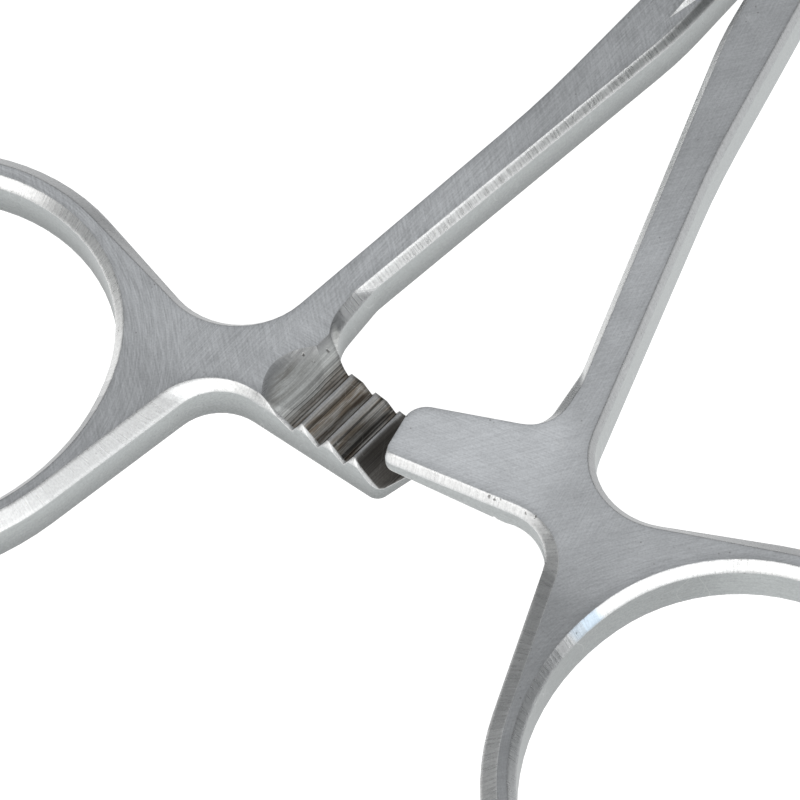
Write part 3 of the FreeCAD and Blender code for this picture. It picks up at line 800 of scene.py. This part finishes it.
def add_camera(studio):
    right, up, back = view_axes(studio)
    aim = Vector((PIVOT.x, PIVOT.y, 0)) + Vector(studio.aim)
    lens = bpy.data.cameras.new("camera")
    lens.sensor_width = SENSOR_MM
    lens.lens = SENSOR_MM * studio.focal_pixels / PICTURE_PIXELS
    lens.clip_start = 0.01
    lens.clip_end = 10.0
    camera = bpy.data.objects.new("camera", lens)
    bpy.context.scene.collection.objects.link(camera)
    turn = Matrix((right, up, back)).transposed().to_4x4()
    camera.matrix_world = Matrix.Translation(aim + back * studio.distance) @ turn
    bpy.context.scene.camera = camera


def add_lamp(name, azimuth, elevation, size, brightness, tint, distance=0.6):
    """Square-ended soft panel facing the clamp; its power is pi times area times brightness."""
    studio = bpy.context.scene.clamp_studio
    aim = Vector((PIVOT.x, PIVOT.y, 0)) + Vector(studio.aim)
    heading = math.radians(azimuth) + studio.view_roll
    rise = math.radians(elevation)
    flat = math.cos(rise)
    towards = Vector((flat * math.cos(heading), flat * math.sin(heading), math.sin(rise)))
    lamp = bpy.data.lights.new(name, "AREA")
    lamp.shape = "RECTANGLE"
    lamp.size, lamp.size_y = size
    lamp.energy = math.pi * size[0] * size[1] * brightness
    lamp.color = tint
    panel = bpy.data.objects.new(name, lamp)
    bpy.context.scene.collection.objects.link(panel)
    turn = towards.to_track_quat("Z", "Y").to_matrix().to_4x4()
    panel.matrix_world = Matrix.Translation(aim + towards * distance) @ turn


def add_table(studio):
    half = studio.table_size / 2
    mesh = bpy.data.meshes.new("table_top")
    corners = [(-half, -half, 0), (half, -half, 0), (half, half, 0), (-half, half, 0)]
    mesh.from_pydata(corners, [], [(0, 1, 2, 3)])
    table = bpy.data.objects.new("table_top", mesh)
    bpy.context.scene.collection.objects.link(table)
    material, n, out = start_material("table_white")
    speck = n.noise(n.add("ShaderNodeTexCoord").outputs["Object"], 900.0, 2.0)
    n.feed(out["Base Color"], n.tint(speck, (0.36, 0.36, 0.36), (0.40, 0.40, 0.40)))
    out["Roughness"].default_value = 0.9
    out["Specular IOR Level"].default_value = 0.1
    out["Emission Color"].default_value = (1.0, 1.0, 1.0, 1.0)
    out["Emission Strength"].default_value = studio.table_glow
    mesh.materials.append(material)


def add_room(studio):
    world = bpy.data.worlds.new("room")
    bpy.context.scene.world = world
    world.use_nodes = True
    back = world.node_tree.nodes["Background"]
    back.inputs["Color"].default_value = (0.97, 0.99, 1.0, 1.0)
    back.inputs["Strength"].default_value = studio.room


class CLAMP_OT_studio(bpy.types.Operator):
    """Build the table, lamps and camera"""

    bl_idname = "clamp.studio"
    bl_label = "Table, lamps and camera"

    def execute(self, context):
        studio = context.scene.clamp_studio
        add_camera(studio)
        add_table(studio)
        add_room(studio)
        add_lamp("far_panel", 90, 52, (0.75, 0.45), studio.far_lamp, (0.97, 0.985, 1.0))
        add_lamp("near_left_panel", -122, 30, (0.62, 0.56), studio.near_lamp, (1.0, 0.995, 0.985))
        add_lamp("near_right_panel", -50, 27, (0.86, 0.74), studio.near_lamp, (0.985, 0.995, 1.0))
        context.scene.view_settings.view_transform = "Standard"
        return {"FINISHED"}


class CLAMP_PT_panel(bpy.types.Panel):
    """Lists the steps and their settings"""

    bl_idname = "CLAMP_PT_panel"
    bl_label = "Towel clamp"
    bl_space_type = "VIEW_3D"
    bl_region_type = "UI"
    bl_category = "Clamp"

    def draw(self, context):
        layout = self.layout
        for settings in (context.scene.clamp_studio, context.scene.clamp_steel):
            box = layout.box()
            for name in settings.__annotations__:
                box.prop(settings, name)
        for operator in OPERATORS:
            layout.operator(operator.bl_idname)


OPERATORS = (CLAMP_OT_box_half, CLAMP_OT_tongue_half, CLAMP_OT_pin, CLAMP_OT_studio)
SETTINGS = (StudioSettings, SteelSettings)


def register():
    for kind in SETTINGS + OPERATORS + (CLAMP_PT_panel,):
        bpy.utils.register_class(kind)
    bpy.types.Scene.clamp_studio = bpy.props.PointerProperty(type=StudioSettings)
    bpy.types.Scene.clamp_steel = bpy.props.PointerProperty(type=SteelSettings)


def unregister():
    del bpy.types.Scene.clamp_steel
    del bpy.types.Scene.clamp_studio
    for kind in reversed(SETTINGS + OPERATORS + (CLAMP_PT_panel,)):
        bpy.utils.unregister_class(kind)


def main():
    register()
    bpy.ops.clamp.box_half()
    bpy.ops.clamp.tongue_half()
    bpy.ops.clamp.pin()
    bpy.ops.clamp.studio()


if __name__ == "__main__":
    main()
